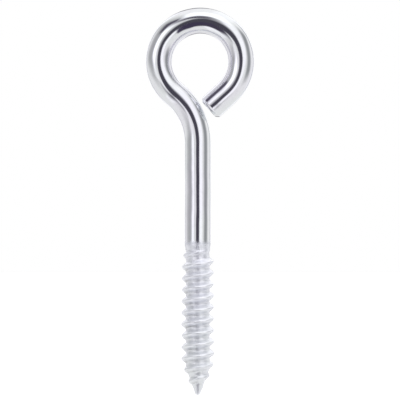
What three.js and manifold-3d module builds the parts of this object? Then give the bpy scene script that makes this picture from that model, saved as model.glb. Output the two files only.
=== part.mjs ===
// Zinc-plated screw eye: one length of round steel wire, bent to an open eye at the top and rolled to
// a coarse right-hand wood thread with a gimlet point at the bottom.
// Millimetres, +Z up. The origin is on the shank's axis where the thread starts, which is where the
// wood's surface lies when the eye is driven home. The eye lies in the XZ plane and opens towards +X.
//
// The wire is one piece of metal. It is built in named lengths that meet face to face: the tail, the
// loop, the neck bend and the shank, then the thread and the point.

import * as THREE from "three";
import { ParametricGeometry } from "three/addons/geometries/ParametricGeometry.js";
import { mergeVertices, toCreasedNormals } from "three/addons/utils/BufferGeometryUtils.js";
import Module from "manifold-3d";

// Driving dimensions: the bent wire
const WIRE_DIAMETER = 6.35; // 1/4 in
const EYE_RADIUS = 10.12; // to the wire's centreline
const EYE_HEIGHT = 44.85; // centre of the eye above the thread's start
const EYE_OFFSET = 0.56; // centre of the eye from the shank's axis, towards +X
const NECK_RADIUS = 15.2; // the reverse bend under the eye, to the wire's centreline
const TAIL_ANGLE = THREE.MathUtils.degToRad(48.25); // where the loop runs out straight, below level
const TAIL_LENGTH = 6.2; // the straight end past the loop
const TAIL_CHAMFER = 0.8; // that the cropping tool leaves on the cut edge

// The threaded end
const THREAD_LENGTH = 37.1; // with the point
const THREAD_PITCH = 25.4 / 9; // 9 threads per inch
const ROOT_RADIUS = 2.9;
const SHOULDER_LENGTH = 1.2; // cone from the full wire down to the root
const POINT_LENGTH = 6.6;
const TIP_RADIUS = 0.65;
const POINT_COLLAR = 0.25; // the straight root that is cut off with the point

// The ridge that stands on the root
const RIDGE_HEIGHT = 1.15;
const RIDGE_FOOT = 2.4; // width of its foot
const RIDGE_CREST = 0.36; // width of its crest
const RIDGE_SUNK = 0.3; // how far its foot lies inside the root
const POINT_RIDGE_SHARE = 0.6; // of its height that it keeps on the point
// Where it grows, gets lower for the point, and fades, in turns down from the thread's start
const RIDGE_START = 0.25;
const RIDGE_FULL = 1.5;
const RIDGE_LOWERS = 10;
const RIDGE_LOWERED = 11;
const RIDGE_FADES = 11.75;
const RIDGE_END = 12.75;

// Facets
const SIDES = 36; // round the wire, and round one turn of the thread
const LOOP_STEPS = 72;
const NECK_STEPS = 14;
const TIP_STEPS = 4;
const CREASE_ANGLE = THREE.MathUtils.degToRad(25);

// Worked out from the above. The neck bend is tangent to the shank's axis, and to the loop from outside.
const WIRE_RADIUS = WIRE_DIAMETER / 2;
const EYE_CENTRE = new THREE.Vector3(EYE_OFFSET, 0, EYE_HEIGHT);
const NECK_ACROSS = NECK_RADIUS + EYE_OFFSET;
const NECK_BELOW = Math.sqrt((EYE_RADIUS + NECK_RADIUS) ** 2 - NECK_ACROSS ** 2);
const NECK_CENTRE = new THREE.Vector3(-NECK_RADIUS, 0, EYE_HEIGHT - NECK_BELOW);
const NECK_ANGLE = Math.atan2(NECK_BELOW, NECK_ACROSS);
const POINT_START = POINT_LENGTH - THREAD_LENGTH;
const POINT_CUT = POINT_START + POINT_COLLAR;

const brightPlate = new THREE.MeshStandardMaterial({ color: 0xc9cbd1, roughness: 0.18, metalness: 1 });
const rolledPlate = new THREE.MeshStandardMaterial({ color: 0xd4d4dc, roughness: 0.42, metalness: 1 });

function named(name, geometry, material) {
  const mesh = new THREE.Mesh(toCreasedNormals(geometry, CREASE_ANGLE), material);
  mesh.name = name;
  return mesh;
}

// An arc in the XZ plane. Angles are from +X towards +Z.
class UprightArc extends THREE.Curve {
  constructor(centre, radius, from, to) {
    super();
    this.centre = centre;
    this.radius = radius;
    this.from = from;
    this.to = to;
  }

  getPoint(t, target = new THREE.Vector3()) {
    const angle = THREE.MathUtils.lerp(this.from, this.to, t);
    return target.set(Math.cos(angle), 0, Math.sin(angle)).multiplyScalar(this.radius).add(this.centre);
  }

  getTangent(t, target = new THREE.Vector3()) {
    const angle = THREE.MathUtils.lerp(this.from, this.to, t);
    const way = Math.sign(this.to - this.from);
    return target.set(-Math.sin(angle), 0, Math.cos(angle)).multiplyScalar(way);
  }
}

function bentWire(name, arc, steps) {
  const section = new THREE.Shape().absarc(0, 0, WIRE_RADIUS, 0, 2 * Math.PI);
  const sweep = { extrudePath: arc, steps, curveSegments: SIDES / 2, bevelEnabled: false };
  return named(name, new THREE.ExtrudeGeometry(section, sweep), brightPlate);
}

// A solid of revolution about Z, from [radius, height] pairs that climb from axis to axis
function turned(...profile) {
  const points = profile.map(([radius, height]) => new THREE.Vector2(radius, height));
  return new THREE.LatheGeometry(points, SIDES).rotateX(Math.PI / 2);
}

// The straight end of the wire, cut square
function eyeTail(loop) {
  const edge = [[WIRE_RADIUS, TAIL_LENGTH - TAIL_CHAMFER], [WIRE_RADIUS - TAIL_CHAMFER, TAIL_LENGTH]];
  const geometry = turned([0, 0], [WIRE_RADIUS, 0], ...edge, [0, TAIL_LENGTH]);
  const mesh = named("eye_tail", geometry, brightPlate);
  mesh.position.copy(loop.getPoint(1));
  mesh.quaternion.setFromUnitVectors(new THREE.Vector3(0, 0, 1), loop.getTangent(1));
  return mesh;
}

function shank() {
  const top = NECK_CENTRE.z;
  return named("shank", turned([0, 0], [WIRE_RADIUS, 0], [WIRE_RADIUS, top], [0, top]), brightPlate);
}

// The point is a cone whose flank meets its rounded tip at a tangent.
const TIP_HEIGHT = TIP_RADIUS - THREAD_LENGTH; // of the centre of its rounding
const FLANK_REACH = Math.hypot(ROOT_RADIUS, POINT_START - TIP_HEIGHT);
const FLANK_RISE = Math.atan2(POINT_START - TIP_HEIGHT, ROOT_RADIUS);
const POINT_HALF_ANGLE = Math.acos(TIP_RADIUS / FLANK_REACH) - FLANK_RISE;

// The threaded end without its ridge, from the tip up
function root() {
  const tip = Array.from({ length: TIP_STEPS + 1 }, (_, i) => {
    const angle = THREE.MathUtils.lerp(-Math.PI / 2, -POINT_HALF_ANGLE, i / TIP_STEPS);
    return [TIP_RADIUS * Math.cos(angle), TIP_HEIGHT + TIP_RADIUS * Math.sin(angle)];
  });
  const flank = [[ROOT_RADIUS, POINT_START], [ROOT_RADIUS, -SHOULDER_LENGTH], [WIRE_RADIUS, 0]];
  return turned([0, -THREAD_LENGTH], ...tip.slice(1), ...flank, [0, 0]);
}

function rootRadius(height) {
  const downPoint = Math.max(POINT_START - height, 0);
  return ROOT_RADIUS - downPoint * Math.tan(POINT_HALF_ANGLE);
}

// How much of the ridge's full size there is, at a number of turns down from the thread's start
function ridgeSize(turns) {
  const grown = THREE.MathUtils.smoothstep(turns, RIDGE_START, RIDGE_FULL);
  const lowered = THREE.MathUtils.smoothstep(turns, RIDGE_LOWERS, RIDGE_LOWERED);
  const faded = THREE.MathUtils.smoothstep(turns, RIDGE_FADES, RIDGE_END);
  return grown * (1 - faded) * THREE.MathUtils.lerp(1, POINT_RIDGE_SHARE, lowered);
}

// The ridge, a four-cornered section carried down a right-hand helix. It rises out of the root at
// one end and sinks back into it at the other. After each whole turn it is at -X.
function ridge() {
  const section = [[RIDGE_FOOT, 0], [-RIDGE_FOOT, 0], [-RIDGE_CREST, 1], [RIDGE_CREST, 1]];
  const sectionPoint = (u, v, target) => {
    const [width, isCrest] = section[Math.round(u * section.length) % section.length];
    const turns = THREE.MathUtils.lerp(RIDGE_START, RIDGE_END, v);
    const size = ridgeSize(turns);
    const height = (size * width) / 2 - turns * THREAD_PITCH;
    const rise = isCrest * size * (RIDGE_HEIGHT + RIDGE_SUNK) - RIDGE_SUNK;
    const radius = rootRadius(height) + rise;
    const angle = Math.PI - 2 * Math.PI * turns;
    target.set(radius * Math.cos(angle), radius * Math.sin(angle), height);
  };
  return new ParametricGeometry(sectionPoint, section.length, SIDES * (RIDGE_END - RIDGE_START));
}

const wasm = await Module();
wasm.setup();

function toSolid(geometry) {
  const bare = geometry.clone();
  bare.deleteAttribute("normal");
  bare.deleteAttribute("uv");
  const merged = mergeVertices(bare);
  const vertProperties = merged.attributes.position.array;
  const triVerts = new Uint32Array(merged.index.array);
  return new wasm.Manifold(new wasm.Mesh({ numProp: 3, vertProperties, triVerts }));
}

function toGeometry(solid) {
  const { vertProperties, triVerts } = solid.getMesh();
  const geometry = new THREE.BufferGeometry();
  geometry.setAttribute("position", new THREE.BufferAttribute(vertProperties, 3));
  geometry.setIndex(new THREE.BufferAttribute(triVerts, 1));
  return geometry;
}

// The threaded end between two heights, by cutting it out with a block wider than the thread
function threadedLength(name, threadedEnd, low, high) {
  const width = 4 * WIRE_DIAMETER;
  const block = new THREE.BoxGeometry(width, width, high - low).translate(0, 0, (low + high) / 2);
  return named(name, toGeometry(threadedEnd.intersect(toSolid(block))), rolledPlate);
}

const loopArc = new UprightArc(EYE_CENTRE, EYE_RADIUS, Math.PI + NECK_ANGLE, -TAIL_ANGLE);
const neckArc = new UprightArc(NECK_CENTRE, NECK_RADIUS, 0, NECK_ANGLE);
const threadedEnd = toSolid(root()).add(toSolid(ridge()));

const screwEye = new THREE.Group();
screwEye.add(eyeTail(loopArc));
screwEye.add(bentWire("eye_loop", loopArc, LOOP_STEPS));
screwEye.add(bentWire("neck_bend", neckArc, NECK_STEPS));
screwEye.add(shank());
screwEye.add(threadedLength("lag_thread", threadedEnd, POINT_CUT, WIRE_RADIUS));
screwEye.add(threadedLength("gimlet_point", threadedEnd, -THREAD_LENGTH - WIRE_RADIUS, POINT_CUT));

export default screwEye;
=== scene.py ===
"""A zinc-plated screw eye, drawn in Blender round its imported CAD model.

The real object is one length of steel wire, so every piece here is a stretch of one surface: a place
along the wire's outline and an angle round it give a point, and neighbouring stretches share their
rims and their normals. Metres, +Z up, with the eye in the XZ plane.
"""

import math

import bpy
import numpy as np
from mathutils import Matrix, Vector


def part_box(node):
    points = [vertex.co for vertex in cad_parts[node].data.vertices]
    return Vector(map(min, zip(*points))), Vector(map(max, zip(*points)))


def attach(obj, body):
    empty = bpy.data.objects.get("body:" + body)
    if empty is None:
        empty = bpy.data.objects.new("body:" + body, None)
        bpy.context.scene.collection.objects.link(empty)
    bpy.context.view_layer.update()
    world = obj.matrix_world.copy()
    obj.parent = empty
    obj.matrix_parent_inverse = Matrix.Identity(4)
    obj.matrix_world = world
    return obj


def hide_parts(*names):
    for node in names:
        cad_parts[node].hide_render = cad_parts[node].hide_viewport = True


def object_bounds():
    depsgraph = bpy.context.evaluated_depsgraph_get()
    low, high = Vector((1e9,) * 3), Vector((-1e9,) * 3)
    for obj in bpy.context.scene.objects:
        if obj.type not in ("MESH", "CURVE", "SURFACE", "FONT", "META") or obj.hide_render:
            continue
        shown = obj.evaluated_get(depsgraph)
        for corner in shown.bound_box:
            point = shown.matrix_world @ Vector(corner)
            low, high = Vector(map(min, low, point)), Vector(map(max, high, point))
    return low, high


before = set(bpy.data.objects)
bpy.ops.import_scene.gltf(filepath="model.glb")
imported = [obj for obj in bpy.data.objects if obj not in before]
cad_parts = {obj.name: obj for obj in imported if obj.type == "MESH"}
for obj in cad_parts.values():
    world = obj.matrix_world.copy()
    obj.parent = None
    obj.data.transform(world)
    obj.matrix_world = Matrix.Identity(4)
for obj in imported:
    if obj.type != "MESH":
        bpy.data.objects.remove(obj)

cad_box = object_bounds()
MM = 0.001
FULL_TURN = 2 * math.pi

# ------------------------------------------------------------------------------------------------
# Sizes that the CAD nodes give
# ------------------------------------------------------------------------------------------------
shank_low, shank_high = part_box("shank")
loop_low, loop_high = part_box("eye_loop")
tail_low, tail_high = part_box("eye_tail")
thread_low, thread_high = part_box("lag_thread")
point_low, point_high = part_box("gimlet_point")

WIRE_RADIUS = (shank_high.x - shank_low.x) / 2
THREAD_TOP = shank_low.z
THREAD_CUT = point_high.z
TIP = point_low.z
CREST_RADIUS = (thread_high.x - thread_low.x) / 2

EYE_RADIUS = (loop_high.x - loop_low.x) / 2 - WIRE_RADIUS
EYE_X = (loop_high.x + loop_low.x) / 2
EYE_Z = loop_high.z - WIRE_RADIUS - EYE_RADIUS

# The neck bend is tangent to the shank's axis and to the loop from outside.
NECK_START = shank_high.z
neck_drop = EYE_Z - NECK_START
NECK_RADIUS = (neck_drop**2 - EYE_RADIUS**2 + EYE_X**2) / (2 * (EYE_RADIUS - EYE_X))
NECK_ANGLE = math.atan2(neck_drop, NECK_RADIUS + EYE_X)

# The tail runs straight on from the loop. Its highest X is on its outer side, where it leaves the
# loop, and its lowest X is on its inner side, on the rim of its cut face.
CHAMFER = 0.8 * MM
TAIL_ANGLE = math.acos((tail_high.x - EYE_X) / (EYE_RADIUS + WIRE_RADIUS))
rim_start_x = EYE_X + (EYE_RADIUS - WIRE_RADIUS + CHAMFER) * math.cos(TAIL_ANGLE)
TAIL_LENGTH = (rim_start_x - tail_low.x) / math.sin(TAIL_ANGLE)

# Distances along the wire's centreline from the thread's start, which is the origin
LOOP_START = NECK_START + NECK_RADIUS * NECK_ANGLE
TAIL_START = LOOP_START + EYE_RADIUS * (math.pi + NECK_ANGLE + TAIL_ANGLE)
WIRE_END = TAIL_START + TAIL_LENGTH
BEND_EASE = 2.5 * MM  # length over which a bend's curvature comes in

# ------------------------------------------------------------------------------------------------
# Sizes of the thread
# ------------------------------------------------------------------------------------------------
PITCH = 25.4 / 9 * MM
ROOT_RADIUS = 2.9 * MM
SHOULDER = 2.2 * MM
POINT_LENGTH = 6.6 * MM
TIP_RADIUS = 0.65 * MM
POINT_START = TIP + POINT_LENGTH
POINT_ROUNDING = 0.25 * MM  # where the root turns into the point

RIDGE_HALF_BASE = 1.08 * MM
FADED_BASE_SHARE = 0.5  # of the half base that is left where the ridge has no height
RIDGE_CREST_SHARE = 0.18  # of the half base that is flat crest
CREST_ROUNDING = 0.3  # as a share of the ridge's height
FOOT_ROUNDING = 0.4  # as a share of the ridge's height
FIRST_RIDGE_SHARE = 0.9  # of its height that the ridge has in its first turns
POINT_RIDGE_SHARE = 0.6  # of its height that the ridge keeps on the point
RIDGE_UNEVENNESS = 0.035  # as a share of its height
# Painted shade along the foot of each ridge's lower flank, standing in for the shade the ridges cast on
# the root
FOOT_SHADE_PLACE = 0.85  # down from the crest, as a share of the half base
FOOT_SHADE_REACH = 0.35  # to both sides of that, as a share of the half base
LIGHTER_SIDE_SHADE = 0.25  # as a share of the painted shade on the two shadier sides
# Where the ridge grows, rises to its full height, gets lower for the point, and fades, in turns down
# from the thread's start
RIDGE_GROWS = (0.25, 1.5)
RIDGE_RISES = (2, 7)
RIDGE_LOWERS = (10.0, 11.0)
RIDGE_FADES = (11.75, 12.75)

flank_reach = math.hypot(ROOT_RADIUS, POINT_START - TIP - TIP_RADIUS)
flank_rise = math.atan2(POINT_START - TIP - TIP_RADIUS, ROOT_RADIUS)
POINT_HALF_ANGLE = math.acos(TIP_RADIUS / flank_reach) - flank_rise

# ------------------------------------------------------------------------------------------------
# Fineness of the meshes
# ------------------------------------------------------------------------------------------------
COLUMNS = 128  # round the wire
RING_STEP = 0.3 * MM
EDGE_STEP = 0.06 * MM
FACE_STEP = 0.12 * MM
THREAD_ROWS_PER_TURN = 26
CREST_CROWDING = 0.45  # 0 would space the thread's rows evenly, and 1 would crowd them on its crest


def mix(low, high, share):
    return low + (high - low) * share


def smoothstep(low, high, value):
    share = np.clip((value - low) / (high - low), 0, 1)
    return share * share * (3 - 2 * share)


def soft_max(first, second, reach):
    overlap = np.maximum(reach - np.abs(first - second), 0)
    return np.maximum(first, second) + overlap**2 / (4 * reach)


def soft_min(first, second, reach):
    return -soft_max(-first, -second, reach)


# ------------------------------------------------------------------------------------------------
# The wire's centreline, by integrating its curvature
# ------------------------------------------------------------------------------------------------
LINE_STEP = 0.02 * MM


def integrate(values):
    """Running sum of values that are LINE_STEP apart, from 0."""
    return np.concatenate(([0], np.cumsum((values[1:] + values[:-1]) / 2) * LINE_STEP))


def bend(along, start, end):
    """1 inside a bend and 0 outside it, eased over BEND_EASE at both ends."""
    half = BEND_EASE / 2
    return smoothstep(start - half, start + half, along) - smoothstep(end - half, end + half, along)


line_along = np.arange(0, WIRE_END + LINE_STEP, LINE_STEP)
line_turn = bend(line_along, LOOP_START, TAIL_START) / EYE_RADIUS
line_turn -= bend(line_along, NECK_START, LOOP_START) / NECK_RADIUS
line_heading = integrate(line_turn)
line_x = integrate(np.sin(line_heading))
line_z = integrate(np.cos(line_heading))


def centreline(along):
    """X, Z and heading at distances along the wire. Heading 0 is up, and it grows towards +X."""
    x = np.interp(along, line_along, line_x)
    z = np.where(along < 0, along, np.interp(along, line_along, line_z))
    return x, z, np.interp(along, line_along, line_heading)


# ------------------------------------------------------------------------------------------------
# The wire's outline, from the point's tip, over the rounded edge, to the middle of the cut face. A
# place on it is a distance along the wire, except on the tip, the edge and the cut face, where it is
# measured along the outline.
# ------------------------------------------------------------------------------------------------
TIP_ARC = math.pi / 2 - POINT_HALF_ANGLE
POINT_FLANK_LOW = TIP + TIP_RADIUS * (1 - math.sin(POINT_HALF_ANGLE))
EDGE_START = WIRE_END - CHAMFER
FACE_START = EDGE_START + CHAMFER * math.pi / 2
CHAMFER_POWER = 1.6  # 1 would round the edge, and 2 would cut it flat
OUTLINE_LOW = POINT_FLANK_LOW - TIP_RADIUS * TIP_ARC
OUTLINE_HIGH = FACE_START + WIRE_RADIUS - CHAMFER
NO_RADIUS = 1e-6 * MM  # anything smaller is the middle of the wire


def root_radius(height):
    """Radius of the rolled end under its ridge."""
    straight = mix(ROOT_RADIUS, WIRE_RADIUS, smoothstep(-SHOULDER, 0, height))
    cone = ROOT_RADIUS - (POINT_START - height) * math.tan(POINT_HALF_ANGLE)
    return soft_min(straight, cone, POINT_ROUNDING)


def outline(place):
    """Distance along the wire and radius, at places on the outline."""
    arc = np.clip(TIP_ARC - (POINT_FLANK_LOW - place) / TIP_RADIUS, 0, TIP_ARC)
    edge = np.clip((place - EDGE_START) / CHAMFER, 0, math.pi / 2)
    on_tip = place < POINT_FLANK_LOW
    along = np.where(on_tip, TIP + TIP_RADIUS * (1 - np.cos(arc)), place)
    past_edge = EDGE_START + CHAMFER * np.sin(edge) ** CHAMFER_POWER
    along = np.where(place > EDGE_START, past_edge, along)
    radius = np.where(place < 0, root_radius(place), WIRE_RADIUS)
    radius = np.where(on_tip, TIP_RADIUS * np.sin(arc), radius)
    drop = 1 - np.maximum(np.cos(edge), 0) ** CHAMFER_POWER
    radius = radius - CHAMFER * drop - np.maximum(place - FACE_START, 0)
    return along, np.maximum(radius, 0)


# ------------------------------------------------------------------------------------------------
# The wire's surface
# ------------------------------------------------------------------------------------------------
def ridge_size(turns_down):
    """How much of the ridge's full size there is, by the turns down from the thread's start."""
    grown = smoothstep(*RIDGE_GROWS, turns_down)
    risen = mix(FIRST_RIDGE_SHARE, 1, smoothstep(*RIDGE_RISES, turns_down))
    lowered = mix(1, POINT_RIDGE_SHARE, smoothstep(*RIDGE_LOWERS, turns_down))
    left = 1 - smoothstep(*RIDGE_FADES, turns_down)
    irregular_wave = np.sin(5.1 * turns_down + np.sin(2.3 * turns_down))
    uneven = 1 - RIDGE_UNEVENNESS * (1 + irregular_wave) / 2
    return grown * risen * lowered * left * uneven


def ridge(height, angle):
    """How far the thread stands above the root, from 0 to 1, and how much painted shade lies along the
    foot below it.
    """
    turn = height / PITCH - (angle - math.pi) / FULL_TURN
    from_crest = (turn - np.round(turn)) * PITCH
    size = ridge_size((from_crest - height) / PITCH)
    reach = RIDGE_HALF_BASE * mix(FADED_BASE_SHARE, 1, size)
    flank = (1 - np.abs(from_crest) / reach) / (1 - RIDGE_CREST_SHARE)
    rise = size * soft_min(soft_max(flank, 0, FOOT_ROUNDING), 1, CREST_ROUNDING)

    # Painted shade lies along the lower flank's foot, and more of it on two sides of the wire.
    from_shade_line = from_crest + FOOT_SHADE_PLACE * reach
    foot_shade = size * np.maximum(1 - np.abs(from_shade_line) / (FOOT_SHADE_REACH * reach), 0)
    shadier_sides = smoothstep(-0.3, 0.3, np.sin(2 * angle))
    return rise, foot_shade * mix(LIGHTER_SIDE_SHADE, 1, shadier_sides)


# Waves along the wire, which together make its slight unevenness
WAVES = [
    # lobes round the wire, wavelength and height in millimetres
    (1, 23.0, 0.020),
    (2, 17.0, 0.012),
    (1, 9.1, 0.007),
    (3, 12.3, 0.006),
    (2, 6.7, 0.0035),
    (4, 7.9, 0.003),
    (3, 4.3, 0.0018),
    (1, 3.7, 0.002),
]
WAVE_PHASES = np.random.default_rng(7).uniform(0, FULL_TURN, len(WAVES))


def waviness(along, angle):
    """Slight unevenness that drawing and bending leave in the wire."""
    return sum(
        height * MM * np.sin(FULL_TURN * along / (length * MM) + lobes * angle + phase)
        for (lobes, length, height), phase in zip(WAVES, WAVE_PHASES)
    )


LIP_END = (-0.45, -0.15)  # where the lip gives way, in wire radii from the cut face's middle
TORN_DEPTH = 0.05 * MM  # of the torn field below the burnished lip
RIPPLE_HEIGHT = 0.006 * MM
RIPPLE_RATE = 19  # radians in a wire radius
CUT_RELIEF_REACH = 0.5 * MM  # from the cut face's edge to where its relief is complete


def cut_relief(place, radius, angle):
    """The cropped end: a burnished lip, a torn field a little lower, and faint ripples across it."""
    across = radius * np.cos(angle) / WIRE_RADIUS
    torn = TORN_DEPTH * smoothstep(*LIP_END, across + 0.08 * np.sin(2.3 * angle))
    ripples = RIPPLE_HEIGHT * np.sin(RIPPLE_RATE * across + 1.3 * np.sin(3 * angle))
    return -(torn + ripples) * smoothstep(FACE_START, FACE_START + CUT_RELIEF_REACH, place)


def wire_surface(place, angle):
    """Points, the same points with the wire straightened, and what ridge() says of them."""
    along, radius = outline(place)
    rise, foot_shade = np.where(along < 0, ridge(along, angle), 0)
    radius = radius + rise * (CREST_RADIUS - ROOT_RADIUS)
    radius = radius * (1 + waviness(along, angle) / WIRE_RADIUS)
    along = along + cut_relief(place, radius, angle)
    x, z, heading = centreline(along)
    outwards = radius * np.cos(angle)
    sideways = radius * np.sin(angle)
    point = np.stack((x + outwards * np.cos(heading), sideways, z - outwards * np.sin(heading)), -1)
    return point, np.stack((outwards, sideways, along), -1), rise, foot_shade


NEAR = 0.002 * MM  # how far to both sides a normal looks


def wire_normal(place, angle):
    place = np.clip(place, OUTLINE_LOW + 2 * NEAR, OUTLINE_HIGH - 2 * NEAR)
    turn = NEAR / WIRE_RADIUS
    round_it = wire_surface(place, angle + turn)[0] - wire_surface(place, angle - turn)[0]
    along_it = wire_surface(place + NEAR, angle)[0] - wire_surface(place - NEAR, angle)[0]
    normal = np.cross(round_it, along_it)
    return normal / np.linalg.norm(normal, axis=-1, keepdims=True)


# ------------------------------------------------------------------------------------------------
# Pieces
# ------------------------------------------------------------------------------------------------
def ring_rows(low, high):
    """Rows square to the wire, closer together on the cut edge and the cut face."""
    rows = [low]
    for start, end, step in (
        (low, EDGE_START, RING_STEP),
        (EDGE_START, FACE_START, EDGE_STEP),
        (FACE_START, OUTLINE_HIGH, FACE_STEP),
    ):
        end = min(end, high)
        if end > start:
            rows.extend(np.linspace(start, end, math.ceil((end - start) / step) + 1)[1:])
    return np.array(rows)


def helical_rows(low, high):
    """Rows that follow the ridge, closer together on it, from a turn below up to the high end."""
    share = (np.arange(THREAD_ROWS_PER_TURN) + 0.5) / THREAD_ROWS_PER_TURN * 2 - 1
    in_turn = ((1 - CREST_CROWDING) * share + CREST_CROWDING * share**3) * PITCH / 2
    turns = np.arange(math.floor(low / PITCH) - 2, math.ceil(high / PITCH) + 3)
    rows = ((turns[:, None] - 0.5) * PITCH + in_turn).ravel()
    first = np.searchsorted(rows, low - PITCH) - 1
    last = np.searchsorted(rows, high)
    return rows[first:last + 1]


def vertex_grid(low, high, threaded):
    """Places and angles of the vertices between two places, and the grid of their numbers.

    Threaded rows climb a pitch in each turn, as the ridge does, and stop at the flat ends.
    """
    rows = helical_rows(low, high) if threaded else ring_rows(low, high)
    angles = np.arange(COLUMNS) * FULL_TURN / COLUMNS
    climb = PITCH * angles / FULL_TURN if threaded else 0 * angles
    place = np.clip(rows[:, None] + climb, low, high)
    column = np.broadcast_to(np.arange(COLUMNS), place.shape)

    # Equal places in a column share a vertex, and so does all of a row in the middle of the wire.
    at_middle = outline(place)[1] < NO_RADIUS
    keys = np.stack((np.where(at_middle, 0, column), place), -1).reshape(-1, 2)
    unique, vertex = np.unique(keys, axis=0, return_inverse=True)
    return unique[:, 1], unique[:, 0] * FULL_TURN / COLUMNS, vertex.reshape(place.shape)


def faces_between(vertex, rows_per_turn):
    """Faces over a grid of vertex numbers that closes round the wire, a turn of rows further up.

    A quad with two corners in one vertex becomes a triangle, and one with fewer is left out.
    """
    following = np.vstack((vertex[rows_per_turn:], np.repeat(vertex[-1:], rows_per_turn, 0)))
    wrapped = np.hstack((vertex, following[:, :1]))
    corners = (wrapped[:-1, :-1], wrapped[:-1, 1:], wrapped[1:, 1:], wrapped[1:, :-1])
    quads = np.stack(corners, -1).reshape(-1, 4).tolist()
    faces = (list(dict.fromkeys(quad)) for quad in quads)
    return [face for face in faces if len(face) > 2]


def wire_mesh(name, low, high, threaded):
    """The wire between two places on its outline, as a closed mesh with its own normals."""
    place, angle, vertex = vertex_grid(low, high, threaded)
    faces = faces_between(vertex, THREAD_ROWS_PER_TURN if threaded else 0)
    points, straightened, rise, foot_shade = wire_surface(place, angle)
    normals = wire_normal(place, angle)
    face_normals = [normals[face] for face in faces]

    # Flat ends where the wire goes on in the next piece
    for end, way, rim in ((low, -1, vertex[0]), (high, 1, vertex[-1])):
        if len(set(rim.tolist())) == 1:
            continue
        x, z, heading = centreline(np.array(end))
        middle = len(points)
        points = np.vstack((points, (x, 0, z)))
        straightened = np.vstack((straightened, (0, 0, end)))
        rise = np.append(rise, 0)
        foot_shade = np.append(foot_shade, 0)
        following = np.roll(rim, -way)
        faces.extend([middle, *pair] for pair in zip(rim.tolist(), following.tolist()))
        facing = np.array((math.sin(heading), 0, math.cos(heading))) * way
        face_normals.extend([np.broadcast_to(facing, (3, 3))] * COLUMNS)

    mesh = bpy.data.meshes.new(name)
    mesh.from_pydata(points.tolist(), [], faces)
    mesh.shade_smooth()
    mesh.normals_split_custom_set(np.concatenate(face_normals).tolist())
    straight = mesh.attributes.new("straight_wire", "FLOAT_VECTOR", "POINT")
    straight.data.foreach_set("vector", straightened.ravel())
    for label, values in (("crest", rise), ("foot_shade", foot_shade)):
        mesh.attributes.new(label, "FLOAT", "POINT").data.foreach_set("value", values)
    return mesh


def wire_piece(name, node, material, low, high, threaded=False):
    """One stretch of the wire, in place of its CAD node."""
    mesh = wire_mesh(name, low, high, threaded)
    mesh.materials.append(material)
    piece = bpy.data.objects.new(name, mesh)
    bpy.context.collection.objects.link(piece)
    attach(piece, "root")
    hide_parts(node)


# ------------------------------------------------------------------------------------------------
# Shader helpers
# ------------------------------------------------------------------------------------------------
def put(tree, socket, value):
    """Links a socket to another one, or sets it to a plain value."""
    if isinstance(value, bpy.types.NodeSocket):
        tree.links.new(value, socket)
    else:
        socket.default_value = value


def calculate(tree, operation, *values):
    node = tree.nodes.new("ShaderNodeMath")
    node.operation = operation
    for socket, value in zip(node.inputs, values):
        put(tree, socket, value)
    return node.outputs[0]


def remap(tree, value, from_low, from_high, to_low=0.0, to_high=1.0):
    """Carries one range over to another, with soft ends."""
    node = tree.nodes.new("ShaderNodeMapRange")
    node.interpolation_type = "SMOOTHSTEP"
    for socket, given in zip(node.inputs, (value, from_low, from_high, to_low, to_high)):
        put(tree, socket, given)
    return node.outputs[0]


def blend_colours(tree, share, first, second):
    node = tree.nodes.new("ShaderNodeMix")
    node.data_type = "RGBA"
    # The node also has sockets for numbers and vectors, so those for colours go by their position.
    first_colour, second_colour, result = node.inputs[6], node.inputs[7], node.outputs[2]
    put(tree, node.inputs["Factor"], share)
    put(tree, first_colour, first)
    put(tree, second_colour, second)
    return result


def noise(tree, vector, scale, detail, squeeze=(1, 1, 1)):
    """Noise with cells of about 1/scale metres, longer along an axis whose squeeze is below 1."""
    mapping = tree.nodes.new("ShaderNodeMapping")
    mapping.inputs["Scale"].default_value = [scale * share for share in squeeze]
    put(tree, mapping.inputs["Vector"], vector)
    node = tree.nodes.new("ShaderNodeTexNoise")
    node.inputs["Scale"].default_value = 1.0
    node.inputs["Detail"].default_value = detail
    put(tree, node.inputs["Vector"], mapping.outputs[0])
    return node.outputs["Fac"]


def attribute(tree, name, output):
    node = tree.nodes.new("ShaderNodeAttribute")
    node.attribute_name = name
    return node.outputs[output]


def split(tree, vector):
    """The X, Y and Z of a vector."""
    node = tree.nodes.new("ShaderNodeSeparateXYZ")
    put(tree, node.inputs[0], vector)
    return node.outputs


def grey(level, tint=(1, 1, 1)):
    return (*(level * channel for channel in tint), 1)


def new_material(name):
    """A material, its node tree and the inputs of its surface shader."""
    material = bpy.data.materials.new(name)
    material.use_nodes = True
    return material, material.node_tree, material.node_tree.nodes["Principled BSDF"].inputs


def add_bump(tree, height, depth, normal=None):
    bump = tree.nodes.new("ShaderNodeBump")
    bump.inputs["Distance"].default_value = depth
    put(tree, bump.inputs["Height"], height)
    if normal is not None:
        put(tree, bump.inputs["Normal"], normal)
    return bump.outputs[0]


# ------------------------------------------------------------------------------------------------
# Materials. Their patterns lie on the straightened wire, so they follow it round its bends.
# ------------------------------------------------------------------------------------------------
# Tints that leave the zinc about as bright as it is
LAVENDER = (0.985, 0.975, 1.04)
SAGE = (0.975, 1.0, 1.015)
ICE = (0.965, 0.975, 1.055)
FROST = (0.97, 1.0, 1.02)

# The rolling dies frost the end of the shank.
FROSTING_LOW = -0.5 * MM  # where it would be complete, just past the shank's end
FROSTING_HIGH = 1.5 * MM  # where it starts
FROSTING_RAGGED = 0.2 * MM  # how far its edge wanders up and down
FROSTED_ROUGHNESS = 0.45

# Depths of the bumps in the zinc
DRAW_LINE_DEPTH = 0.0006 * MM
PEEL_DEPTH = 0.0012 * MM
DIE_LINE_DEPTH = 0.0015 * MM
GRAIN_DEPTH = 0.003 * MM


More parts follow.
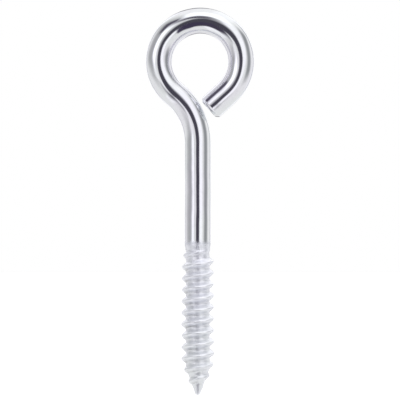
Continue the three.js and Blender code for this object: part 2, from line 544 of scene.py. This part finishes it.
def bright_zinc():
    """Clear zinc on smooth drawn wire: near mirror, with faint tints, draw lines and a soft bloom."""
    material, tree, surface = new_material("bright_zinc")
    straight = attribute(tree, "straight_wire", "Vector")
    clouds = noise(tree, straight, scale=170, detail=2, squeeze=(1, 1, 0.5))
    tint = blend_colours(tree, remap(tree, clouds, 0.35, 0.65), grey(0.85, LAVENDER), grey(0.85, SAGE))
    bloom = noise(tree, straight, scale=900, detail=4)
    colour = blend_colours(tree, remap(tree, bloom, 0.45, 0.8, 0, 0.5), tint, grey(0.76, LAVENDER))

    frayed = noise(tree, straight, scale=800, detail=2)
    frayed = remap(tree, frayed, 0.3, 0.7, -FROSTING_RAGGED, FROSTING_RAGGED)
    height = calculate(tree, "ADD", split(tree, straight)[2], frayed)
    frosting = remap(tree, height, FROSTING_HIGH, FROSTING_LOW)
    put(tree, surface["Base Color"], blend_colours(tree, frosting, colour, grey(0.9, ICE)))

    draw_lines = noise(tree, straight, scale=5200, detail=2, squeeze=(1, 1, 0.012))
    patches = noise(tree, straight, scale=420, detail=3, squeeze=(1, 1, 0.4))
    patched = remap(tree, patches, 0.3, 0.75, 0.06, 0.11)
    drawn = remap(tree, draw_lines, 0.5, 0.8, 0, 0.06)
    frosted = calculate(tree, "MULTIPLY", frosting, FROSTED_ROUGHNESS)
    roughness = calculate(tree, "ADD", calculate(tree, "ADD", patched, drawn), frosted)
    put(tree, surface["Roughness"], roughness)
    surface["Metallic"].default_value = 1.0

    peel = noise(tree, straight, scale=1500, detail=2)
    normal = add_bump(tree, draw_lines, DRAW_LINE_DEPTH)
    put(tree, surface["Normal"], add_bump(tree, peel, PEEL_DEPTH, normal))
    return material


def rolled_zinc():
    """Zinc on the rolled thread: frosted and pale, with painted shade along the ridge's foot, burnished on
    its crest.
    """
    material, tree, surface = new_material("rolled_zinc")
    straight = attribute(tree, "straight_wire", "Vector")
    crest = attribute(tree, "crest", "Fac")
    foot_shade = attribute(tree, "foot_shade", "Fac")
    lower = remap(tree, split(tree, straight)[2], THREAD_TOP, TIP, 0, 0.6)
    clouds = remap(tree, noise(tree, straight, scale=260, detail=3), 0.35, 0.65, 0, 0.4)
    warmth = calculate(tree, "ADD", lower, clouds)
    tint = blend_colours(tree, warmth, grey(0.9, ICE), grey(0.9, FROST))
    bloom = remap(tree, noise(tree, straight, scale=1300, detail=4), 0.4, 0.75, 0, 0.4)
    colour = blend_colours(tree, bloom, tint, grey(0.82, ICE))
    # Painted shade along the ridge's foot, broken into dashes by noise and blended into the base colour
    gaps = remap(tree, noise(tree, straight, scale=420, detail=3), 0.4, 0.65, 0.3, 0.85)
    painted_foot_shade = calculate(tree, "MULTIPLY", foot_shade, gaps)
    put(tree, surface["Base Color"], blend_colours(tree, painted_foot_shade, colour, grey(0.3, SAGE)))

    patches = remap(tree, noise(tree, straight, scale=700, detail=3), 0.3, 0.75, 0.52, 0.64)
    burnish = remap(tree, crest, 0.6, 1.0, 0, -0.14)
    put(tree, surface["Roughness"], calculate(tree, "ADD", patches, burnish))
    surface["Metallic"].default_value = 0.82
    # The clear film over the zinc
    surface["Coat Weight"].default_value = 1.0
    surface["Coat Roughness"].default_value = 0.09
    surface["Coat IOR"].default_value = 2.7

    grain = noise(tree, straight, scale=2600, detail=3)
    die_lines = noise(tree, straight, scale=900, detail=2, squeeze=(0.3, 0.3, 3))
    normal = add_bump(tree, die_lines, DIE_LINE_DEPTH)
    put(tree, surface["Normal"], add_bump(tree, grain, GRAIN_DEPTH, normal))
    return material


# ------------------------------------------------------------------------------------------------
# Build the pieces
# ------------------------------------------------------------------------------------------------
plate = bright_zinc()
rolled = rolled_zinc()

wire_piece("cropped_end", "eye_tail", plate, TAIL_START, OUTLINE_HIGH)
wire_piece("bent_eye", "eye_loop", plate, LOOP_START, TAIL_START)
wire_piece("neck", "neck_bend", plate, NECK_START, LOOP_START)
wire_piece("plain_shank", "shank", plate, THREAD_TOP, NECK_START)
wire_piece("rolled_thread", "lag_thread", rolled, THREAD_CUT, THREAD_TOP, threaded=True)
wire_piece("threaded_point", "gimlet_point", rolled, OUTLINE_LOW, THREAD_CUT, threaded=True)

# ------------------------------------------------------------------------------------------------
# Studio
# ------------------------------------------------------------------------------------------------
box_low, box_high = cad_box
object_centre = (box_low + box_high) / 2
object_height = box_high.z - box_low.z

# Lengths in heights of the object
FLOOR_HALF_WIDTH = 30
FLOOR_DROP = 0.16  # below the tip
CAMERA_DISTANCE = 12
CAMERA_RISE = 0.0033  # above the object's middle
CAMERA_SIGHT = 100
PICTURE_HEIGHT = 1.0336

SOFTBOX_STRENGTH = 1.4
SOFTBOX_WIDTH = math.radians(50)
SOFTBOX_DIRECTION = Vector((0.3, -0.7, 0.9))  # seen from the object


def pale_floor():
    material, _, surface = new_material("pale_floor")
    surface["Base Color"].default_value = grey(0.9)
    surface["Roughness"].default_value = 0.9
    half = FLOOR_HALF_WIDTH * object_height
    depth = box_low.z - FLOOR_DROP * object_height
    corners = [(-half, -half, depth), (half, -half, depth), (half, half, depth), (-half, half, depth)]
    mesh = bpy.data.meshes.new("floor")
    mesh.from_pydata(corners, [], [(0, 1, 2, 3)])
    mesh.materials.append(material)
    floor = bpy.data.objects.new("floor", mesh)
    bpy.context.collection.objects.link(floor)
    floor.visible_glossy = False


# The light tent that the metal reflects. Places are degrees towards +X and +Z from the middle of the
# tent's front or back, sizes are half widths in degrees, and softness is a share of them. Each panel
# covers those before it.
#
# The front's numbers were not set by hand. Another program fitted them to the reflections in the
# photograph, and they are rounded here, with some of the softness and of the radiances changed after
# the fit. The back is set one by one.
FRONT_PANELS = [
    # name, place, half size, tilt, softness, radiance
    ("lower right wall", (177, -23), (82, 42), 57, (0.75, 0.46), (1.05, 1.07, 1.09)),
    ("lower left wall", (-50, -7), (22, 7), -2, (0.46, 0.25), (1.37, 1.37, 1.4)),
    ("front wall", (5, -11), (20, 66), -38, (0.1, 0.35), (1.12, 1.12, 1.15)),
    ("left flag", (-64, 30), (41, 50), -30, (0.7, 0.41), (0.43, 0.43, 0.44)),
    ("right flag", (77, 18), (19, 43), -4, (0.65, 0.35), (0.32, 0.33, 0.34)),
    ("upper right wall", (57, 108), (23, 30), -38, (0.18, 0.6), (1.15, 1.15, 1.17)),
    ("upper left flag", (-25, 43), (39, 11), -22, (0.28, 0.4), (0.095, 0.085, 0.12)),
    ("left lamp", (-39, 18), (14, 21), -39, (0.45, 0.45), (1.36, 1.36, 1.41)),
    ("right lamp", (9, 61), (31, 18), 4, (0.26, 0.45), (1.34, 1.34, 1.39)),
    ("upper opening", (0, -7), (11, 29), -21, (0.4, 0.4), (0.068, 0.064, 0.085)),
    ("lower opening", (-1, -17), (10, 30), 11, (0.4, 0.4), (0.068, 0.064, 0.085)),
    ("table edge left", (-5, -35), (26, 14), -11, (0.4, 0.42), (0.065, 0.055, 0.085)),
    ("table edge right", (10, -32), (20, 12), -49, (0.4, 0.1), (0.055, 0.045, 0.085)),
]
BACK_PANELS = [
    ("back left lamp", (-20, 10), (9, 34), 4, (0.4, 0.4), (1.25, 1.25, 1.3)),
    ("back right lamp", (22, 4), (9, 34), -6, (0.4, 0.4), (1.25, 1.25, 1.3)),
    ("back left flag", (-35, 6), (5, 32), 4, (0.7, 0.4), (0.45, 0.45, 0.46)),
    ("back right flag", (37, 8), (6, 30), -6, (0.6, 0.4), (0.4, 0.41, 0.42)),
    ("opening at the back", (0, 4), (9, 32), 8, (0.5, 0.5), (0.09, 0.085, 0.11)),
]
# The walls get lighter between two heights, as parts of the tent's radius above its middle. How light
# they are comes from the same fit.
WALL_HEIGHTS = (-0.3, 0.6)
WALL_LOW = grey(0.89)
WALL_HIGH = grey(1.03)
NEARLY_ZERO = 1e-4  # so that nothing is divided by zero in the middle of a side


def panel_cover(tree, name, flat, place, half, tilt, softness):
    """How much of the tent one panel covers: 1 inside it, 0 outside it, and less at its soft edges."""
    mapping = tree.nodes.new("ShaderNodeMapping")
    mapping.label = name
    mapping.vector_type = "TEXTURE"
    mapping.inputs["Location"].default_value = (*map(math.radians, place), 0)
    mapping.inputs["Rotation"].default_value = (0, 0, math.radians(tilt))
    mapping.inputs["Scale"].default_value = (*map(math.radians, half), 1)
    put(tree, mapping.inputs["Vector"], flat)
    across, along = (
        remap(tree, calculate(tree, "ABSOLUTE", value), 1 + soft, 1 - soft)
        for value, soft in zip(split(tree, mapping.outputs[0]), softness)
    )
    return calculate(tree, "MULTIPLY", across, along)


def tent_side(tree, colour, direction, facing, panels):
    """Lays panels over a colour. facing is -1 for the tent's front and 1 for its back."""
    x, y, z = direction
    from_middle = calculate(tree, "ARCCOSINE", calculate(tree, "MULTIPLY", y, float(facing)))
    x_squared = calculate(tree, "MULTIPLY", x, x)
    z_squared = calculate(tree, "MULTIPLY", z, z)
    off_axis = calculate(tree, "SQRT", calculate(tree, "ADD", x_squared, z_squared))
    spread = calculate(tree, "DIVIDE", from_middle, calculate(tree, "MAXIMUM", off_axis, NEARLY_ZERO))
    flat = tree.nodes.new("ShaderNodeCombineXYZ")
    put(tree, flat.inputs[0], calculate(tree, "MULTIPLY", x, spread))
    put(tree, flat.inputs[1], calculate(tree, "MULTIPLY", z, spread))
    for name, place, half, tilt, softness, radiance in panels:
        covered = panel_cover(tree, name, flat.outputs[0], place, half, tilt, softness)
        colour = blend_colours(tree, covered, colour, (*radiance, 1))
    return colour


def light_tent():
    """The tent as the world's light. The camera sees plain white in its place."""
    world = bpy.data.worlds.new("light_tent")
    bpy.context.scene.world = world
    world.use_nodes = True
    tree = world.node_tree
    tree.nodes.clear()
    direction = split(tree, tree.nodes.new("ShaderNodeTexCoord").outputs["Generated"])
    colour = blend_colours(tree, remap(tree, direction[2], *WALL_HEIGHTS), WALL_LOW, WALL_HIGH)
    colour = tent_side(tree, colour, direction, -1, FRONT_PANELS)
    colour = tent_side(tree, colour, direction, 1, BACK_PANELS)
    lit = tree.nodes.new("ShaderNodeBackground")
    put(tree, lit.inputs["Color"], colour)
    seen = tree.nodes.new("ShaderNodeBackground")
    put(tree, seen.inputs["Color"], grey(1))
    ray = tree.nodes.new("ShaderNodeLightPath")
    either = tree.nodes.new("ShaderNodeMixShader")
    put(tree, either.inputs["Fac"], ray.outputs["Is Camera Ray"])
    put(tree, either.inputs[1], lit.outputs[0])
    put(tree, either.inputs[2], seen.outputs[0])
    output = tree.nodes.new("ShaderNodeOutputWorld")
    put(tree, output.inputs["Surface"], either.outputs[0])


def softbox():
    """A broad soft lamp above, to the right and in front, for the floor and the frosted thread."""
    lamp = bpy.data.lights.new("softbox", "SUN")
    lamp.energy = SOFTBOX_STRENGTH
    lamp.angle = SOFTBOX_WIDTH
    overhead = bpy.data.objects.new("softbox", lamp)
    overhead.rotation_euler = SOFTBOX_DIRECTION.to_track_quat("Z", "Y").to_euler()
    overhead.visible_glossy = False
    bpy.context.collection.objects.link(overhead)


def level_camera():
    """Looks level along +Y, from far enough away that the eye shows almost no perspective."""
    lens = bpy.data.cameras.new("camera")
    lens.lens = lens.sensor_width * CAMERA_DISTANCE / PICTURE_HEIGHT
    lens.clip_end = CAMERA_SIGHT * object_height
    camera = bpy.data.objects.new("camera", lens)
    offset = Vector((0, -CAMERA_DISTANCE, CAMERA_RISE))
    camera.location = object_centre + offset * object_height
    camera.rotation_euler = (math.pi / 2, 0, 0)
    bpy.context.collection.objects.link(camera)
    bpy.context.scene.camera = camera


pale_floor()
light_tent()
softbox()
level_camera()
bpy.context.scene.view_settings.view_transform = "Standard"
